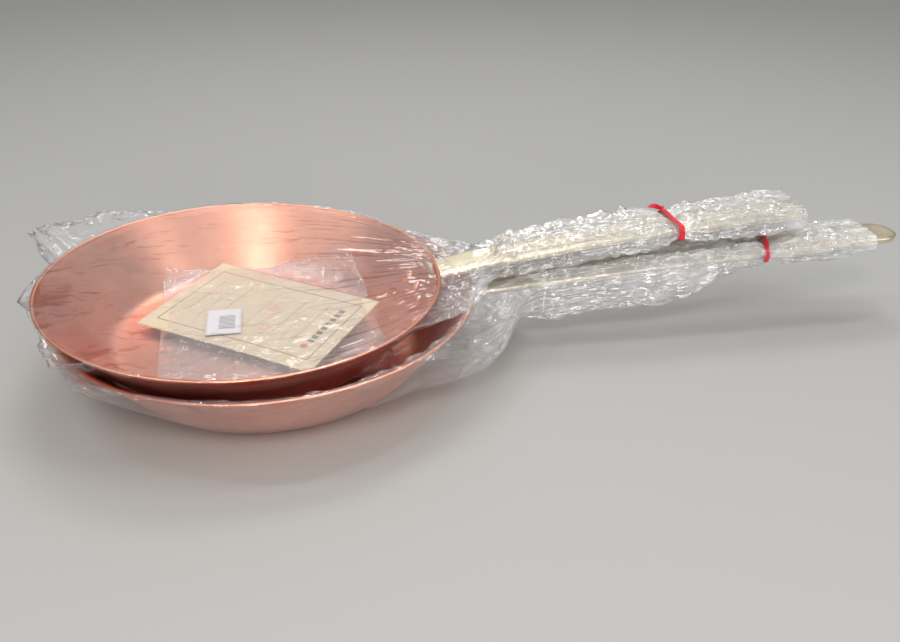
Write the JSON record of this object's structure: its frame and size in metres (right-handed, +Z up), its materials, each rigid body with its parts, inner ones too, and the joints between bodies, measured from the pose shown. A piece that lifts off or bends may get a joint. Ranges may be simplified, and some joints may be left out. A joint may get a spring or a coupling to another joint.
{
  "type": "nested frying pans",
  "caption": "Two nested copper frying pans with long flat brass handles, each in a clear film bag gathered along its handle and tied.",
  "frame": {"origin": "middle of the lower pan's flat base, on the surface it stands on", "axes": "+X along the lower pan's handle towards its tip, +Z up out of the pans, +Y to the left of the handle"},
  "size_m": [0.62, 0.2824, 0.0848],
  "materials": {
    "copper": "satin bare copper, spun and lightly polished, inside and out",
    "rivet_copper": "satin copper rivet heads",
    "cast_brass": "pale cast brass, linished, with small casting marks",
    "clear_film": "thin clear crinkled film",
    "clear_sleeve": "thin clear sleeve, slightly milky",
    "red_tie": "glossy flat red tie",
    "tie_wire": "thin steel wire",
    "card_paper": "matte cream card with a thin printed border",
    "label_paper": "white paper label with plain bars"
  },
  "bodies": {
    "lower_pan": {"lower_pan_shell": "copper", "lower_handle": "cast_brass", "lower_rivet_left": "rivet_copper", "lower_rivet_middle": "rivet_copper", "lower_rivet_right": "rivet_copper", "lower_bag": "clear_film", "lower_bag_sleeve": "clear_film", "lower_tie": "red_tie", "lower_tie_wire": "tie_wire"},
    "upper_pan": {"upper_pan_shell": "copper", "upper_handle": "cast_brass", "upper_rivet_left": "rivet_copper", "upper_rivet_middle": "rivet_copper", "upper_rivet_right": "rivet_copper", "upper_bag": "clear_film", "upper_bag_top": "clear_film", "upper_bag_sleeve": "clear_film", "upper_tie": "red_tie", "upper_tie_wire": "tie_wire"},
    "card": {"card": "card_paper", "card_sleeve": "clear_sleeve", "label": "label_paper"}
  },
  "joints": [
    {"name": "upper_pan_lift", "type": "slide", "parent": "lower_pan", "child": "upper_pan", "axis": [0, 0, 1], "range_m": [0, 0.12]},
    {"name": "card_float", "type": "slide", "parent": "upper_pan", "child": "card", "axis": [0, 0, 1], "range_m": [0, 0.015]}
  ]
}
